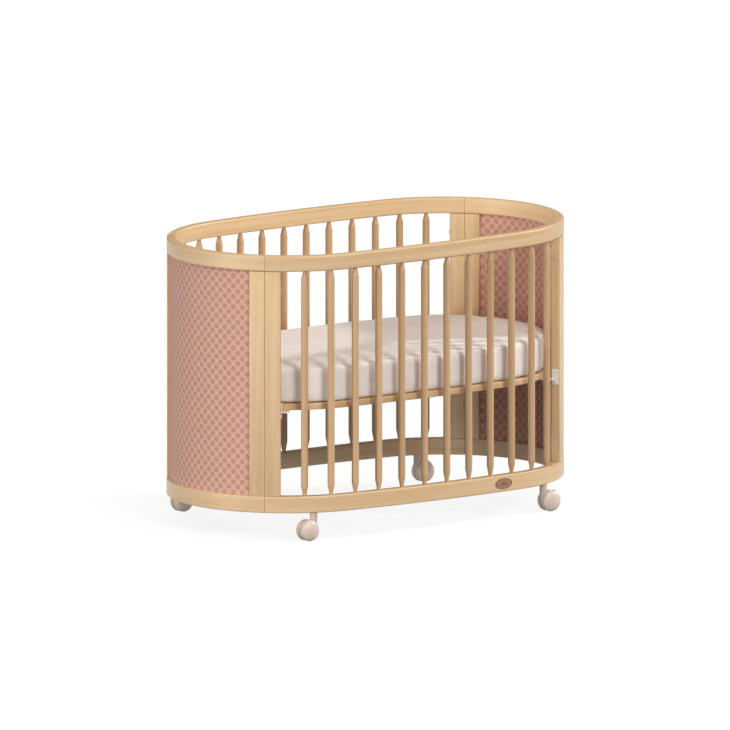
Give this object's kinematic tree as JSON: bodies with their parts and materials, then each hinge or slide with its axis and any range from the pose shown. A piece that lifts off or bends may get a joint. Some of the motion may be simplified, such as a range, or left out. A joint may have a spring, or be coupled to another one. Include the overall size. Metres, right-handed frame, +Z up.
{
  "type": "baby crib",
  "caption": "Oval wooden crib on casters: slatted side frames, cloth-panelled end frames, a height-adjustable base and an oval mattress.",
  "frame": {"origin": "on the floor under the centre of the oval", "axes": "+X along the length towards the right-hand end, -Y towards the front, +Z up"},
  "size_m": [1.331, 0.7618, 0.8845],
  "materials": {
    "frame_beech": "clear satin lacquer on light beech",
    "slat_beech": "clear satin lacquer on light beech",
    "base_beech": "matt birch-faced wood",
    "printed_cloth": "plain-woven cloth, dusty pink with a print of small rings",
    "mattress_cover": "soft knitted mattress cover, pale cream",
    "plate_metal": "satin grey paint on steel",
    "caster_plastic": "satin cream moulded plastic",
    "lever_plastic": "matt warm grey moulded plastic"
  },
  "bodies": {
    "frame": {"front_top_rail": "frame_beech", "front_bottom_rail": "frame_beech", "front_left_post": "frame_beech", "front_right_post": "frame_beech", "front_slat_01": "slat_beech", "front_slat_02": "slat_beech", "front_slat_03": "slat_beech", "front_slat_04": "slat_beech", "front_slat_05": "slat_beech", "front_slat_06": "slat_beech", "front_slat_07": "slat_beech", "front_slat_08": "slat_beech", "front_slat_09": "slat_beech", "front_slat_10": "slat_beech", "front_slat_11": "slat_beech", "front_slat_12": "slat_beech", "rear_top_rail": "frame_beech", "rear_bottom_rail": "frame_beech", "rear_left_post": "frame_beech", "rear_right_post": "frame_beech", "rear_slat_01": "slat_beech", "rear_slat_02": "slat_beech", "rear_slat_03": "slat_beech", "rear_slat_04": "slat_beech", "rear_slat_05": "slat_beech", "rear_slat_06": "slat_beech", "rear_slat_07": "slat_beech", "rear_slat_08": "slat_beech", "rear_slat_09": "slat_beech", "rear_slat_10": "slat_beech", "rear_slat_11": "slat_beech", "rear_slat_12": "slat_beech", "left_end_top_rail": "frame_beech", "left_end_bottom_rail": "frame_beech", "left_end_front_post": "frame_beech", "left_end_rear_post": "frame_beech", "left_end_cloth_panel": "printed_cloth", "right_end_top_rail": "frame_beech", "right_end_bottom_rail": "frame_beech", "right_end_front_post": "frame_beech", "right_end_rear_post": "frame_beech", "right_end_cloth_panel": "printed_cloth"},
    "base": {"mattress_base": "base_beech", "base_bracket_front_left": "plate_metal", "base_bracket_front_right": "plate_metal", "base_bracket_rear_left": "plate_metal", "base_bracket_rear_right": "plate_metal"},
    "mattress": {"mattress": "mattress_cover"},
    "caster_front_left": {"caster_front_left_body": "caster_plastic"},
    "caster_front_left_wheel_pair": {"caster_front_left_wheels": "caster_plastic"},
    "caster_front_left_brake": {"caster_front_left_brake_lever": "lever_plastic"},
    "caster_front_right": {"caster_front_right_body": "caster_plastic"},
    "caster_front_right_wheel_pair": {"caster_front_right_wheels": "caster_plastic"},
    "caster_front_right_brake": {"caster_front_right_brake_lever": "lever_plastic"},
    "caster_rear_left": {"caster_rear_left_body": "caster_plastic"},
    "caster_rear_left_wheel_pair": {"caster_rear_left_wheels": "caster_plastic"},
    "caster_rear_left_brake": {"caster_rear_left_brake_lever": "lever_plastic"},
    "caster_rear_right": {"caster_rear_right_body": "caster_plastic"},
    "caster_rear_right_wheel_pair": {"caster_rear_right_wheels": "caster_plastic"},
    "caster_rear_right_brake": {"caster_rear_right_brake_lever": "lever_plastic"}
  },
  "joints": [
    {"name": "base_height", "type": "slide", "parent": "frame", "child": "base", "axis": [0, 0, 1], "range_m": [-0.2035, 0]},
    {"name": "mattress_lift", "type": "slide", "parent": "base", "child": "mattress", "axis": [0, 0, 1], "range_m": [0, 0.68]},
    {"name": "caster_front_left_swivel", "type": "hinge", "parent": "frame", "child": "caster_front_left", "pos_m": [-0.435, -0.32807, 0.0855], "axis": [0, 0, 1], "continuous": true},
    {"name": "caster_front_left_roll", "type": "hinge", "parent": "caster_front_left", "child": "caster_front_left_wheel_pair", "pos_m": [-0.457, -0.32807, 0.0325], "axis": [0, 1, 0], "continuous": true},
    {"name": "caster_front_left_brake_press", "type": "hinge", "parent": "caster_front_left", "child": "caster_front_left_brake", "pos_m": [-0.48493, -0.32807, 0.03875], "axis": [0, 1, 0], "range_deg": [0, 11]},
    {"name": "caster_front_right_swivel", "type": "hinge", "parent": "frame", "child": "caster_front_right", "pos_m": [0.435, -0.32807, 0.0855], "axis": [0, 0, 1], "continuous": true},
    {"name": "caster_front_right_roll", "type": "hinge", "parent": "caster_front_right", "child": "caster_front_right_wheel_pair", "pos_m": [0.457, -0.32807, 0.0325], "axis": [0, 1, 0], "continuous": true},
    {"name": "caster_front_right_brake_press", "type": "hinge", "parent": "caster_front_right", "child": "caster_front_right_brake", "pos_m": [0.48493, -0.32807, 0.03875], "axis": [0, -1, 0], "range_deg": [0, 11]},
    {"name": "caster_rear_left_swivel", "type": "hinge", "parent": "frame", "child": "caster_rear_left", "pos_m": [-0.435, 0.32807, 0.0855], "axis": [0, 0, 1], "continuous": true},
    {"name": "caster_rear_left_roll", "type": "hinge", "parent": "caster_rear_left", "child": "caster_rear_left_wheel_pair", "pos_m": [-0.457, 0.32807, 0.0325], "axis": [0, 1, 0], "continuous": true},
    {"name": "caster_rear_left_brake_press", "type": "hinge", "parent": "caster_rear_left", "child": "caster_rear_left_brake", "pos_m": [-0.48493, 0.32807, 0.03875], "axis": [0, 1, 0], "range_deg": [0, 11]},
    {"name": "caster_rear_right_swivel", "type": "hinge", "parent": "frame", "child": "caster_rear_right", "pos_m": [0.435, 0.32807, 0.0855], "axis": [0, 0, 1], "continuous": true},
    {"name": "caster_rear_right_roll", "type": "hinge", "parent": "caster_rear_right", "child": "caster_rear_right_wheel_pair", "pos_m": [0.457, 0.32807, 0.0325], "axis": [0, 1, 0], "continuous": true},
    {"name": "caster_rear_right_brake_press", "type": "hinge", "parent": "caster_rear_right", "child": "caster_rear_right_brake", "pos_m": [0.48493, 0.32807, 0.03875], "axis": [0, -1, 0], "range_deg": [0, 11]}
  ]
}
